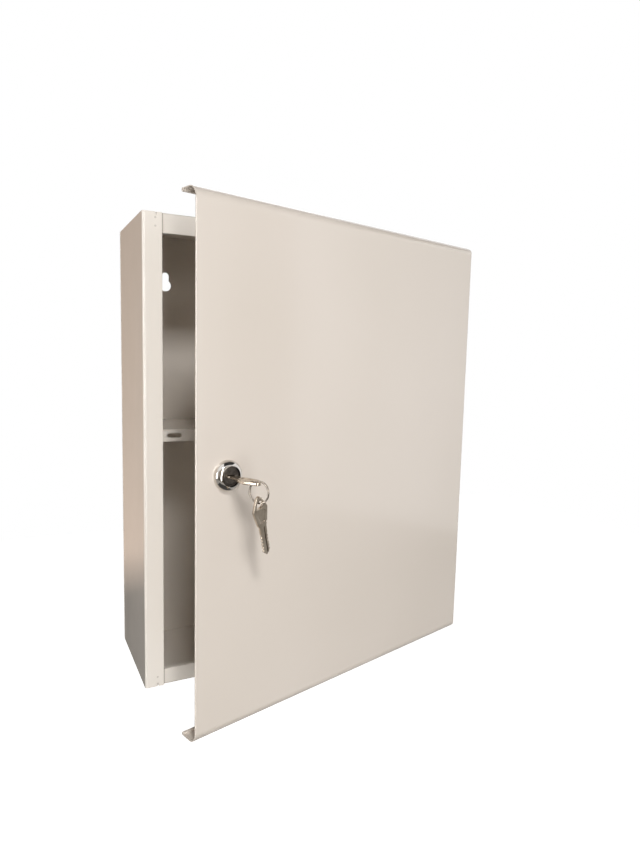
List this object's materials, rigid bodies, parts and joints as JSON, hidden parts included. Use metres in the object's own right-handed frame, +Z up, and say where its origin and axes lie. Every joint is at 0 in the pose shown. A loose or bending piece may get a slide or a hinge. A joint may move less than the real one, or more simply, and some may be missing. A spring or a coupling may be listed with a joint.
{
  "type": "lockable medicine cabinet",
  "caption": "Wall-hung sheet-steel medicine cabinet with a fixed shelf, a hinged door, a key-operated cam lock, keys on a split ring and keyhole slots for hanging.",
  "frame": {"origin": "on the wall plane, midway between the centres of the two keyholes' round entry holes", "axes": "+Z up, +Y into the wall, -Y out of the front, +X towards the hinged side"},
  "size_m": [0.3022, 0.2321, 0.38],
  "materials": {
    "body_enamel": "gloss enamel, warm white",
    "door_enamel": "gloss enamel, warm white",
    "zinc_steel": "zinc plated",
    "white_plastic": "moulded nylon",
    "lock_chrome": "polished chrome",
    "plug_steel": "dark plated, turned face",
    "key_nickel": "nickel plated",
    "ring_steel": "plated spring wire"
  },
  "bodies": {
    "cabinet": {"side_panel_left": "body_enamel", "side_panel_right": "body_enamel", "top_panel": "body_enamel", "bottom_panel": "body_enamel", "back_panel": "body_enamel", "shelf": "body_enamel", "shelf_support_left": "body_enamel", "shelf_support_right": "body_enamel", "hinge_bracket_top": "zinc_steel", "hinge_bracket_bottom": "zinc_steel", "hinge_pin_top": "zinc_steel", "hinge_pin_bottom": "zinc_steel", "hinge_washer_top": "white_plastic", "hinge_washer_bottom": "white_plastic"},
    "door": {"door_panel": "door_enamel", "lock_housing": "lock_chrome", "lock_washer": "zinc_steel", "lock_nut": "zinc_steel"},
    "plug": {"lock_plug": "plug_steel", "lock_cam": "zinc_steel", "cam_washer": "zinc_steel", "cam_screw": "zinc_steel"},
    "key": {"key_in_lock": "key_nickel"},
    "ring": {"key_ring": "ring_steel"},
    "spare": {"spare_key": "key_nickel"}
  },
  "joints": [
    {"name": "door_hinge", "type": "hinge", "parent": "cabinet", "child": "door", "pos_m": [0.1445, -0.107, -0.144], "axis": [0, 0, 1], "range_deg": [-15.5, 86]},
    {"name": "lock_turn", "type": "hinge", "parent": "door", "child": "plug", "pos_m": [-0.11172, -0.19155, -0.1445], "axis": [-0.2672, 0.9636, 0], "range_deg": [0, 90]},
    {"name": "key_pull", "type": "slide", "parent": "plug", "child": "key", "axis": [0.2672, -0.9636, 0], "range_m": [0, 0.025]},
    {"name": "ring_swing", "type": "hinge", "parent": "key", "child": "ring", "pos_m": [-0.10164, -0.22559, -0.14986], "axis": [0.8141, 0.5807, 0], "range_deg": [-40, 12]},
    {"name": "spare_swing", "type": "hinge", "parent": "ring", "child": "spare", "pos_m": [-0.10164, -0.22559, -0.15706], "axis": [0.5807, -0.8141, 0], "range_deg": [-45, 15]}
  ]
}
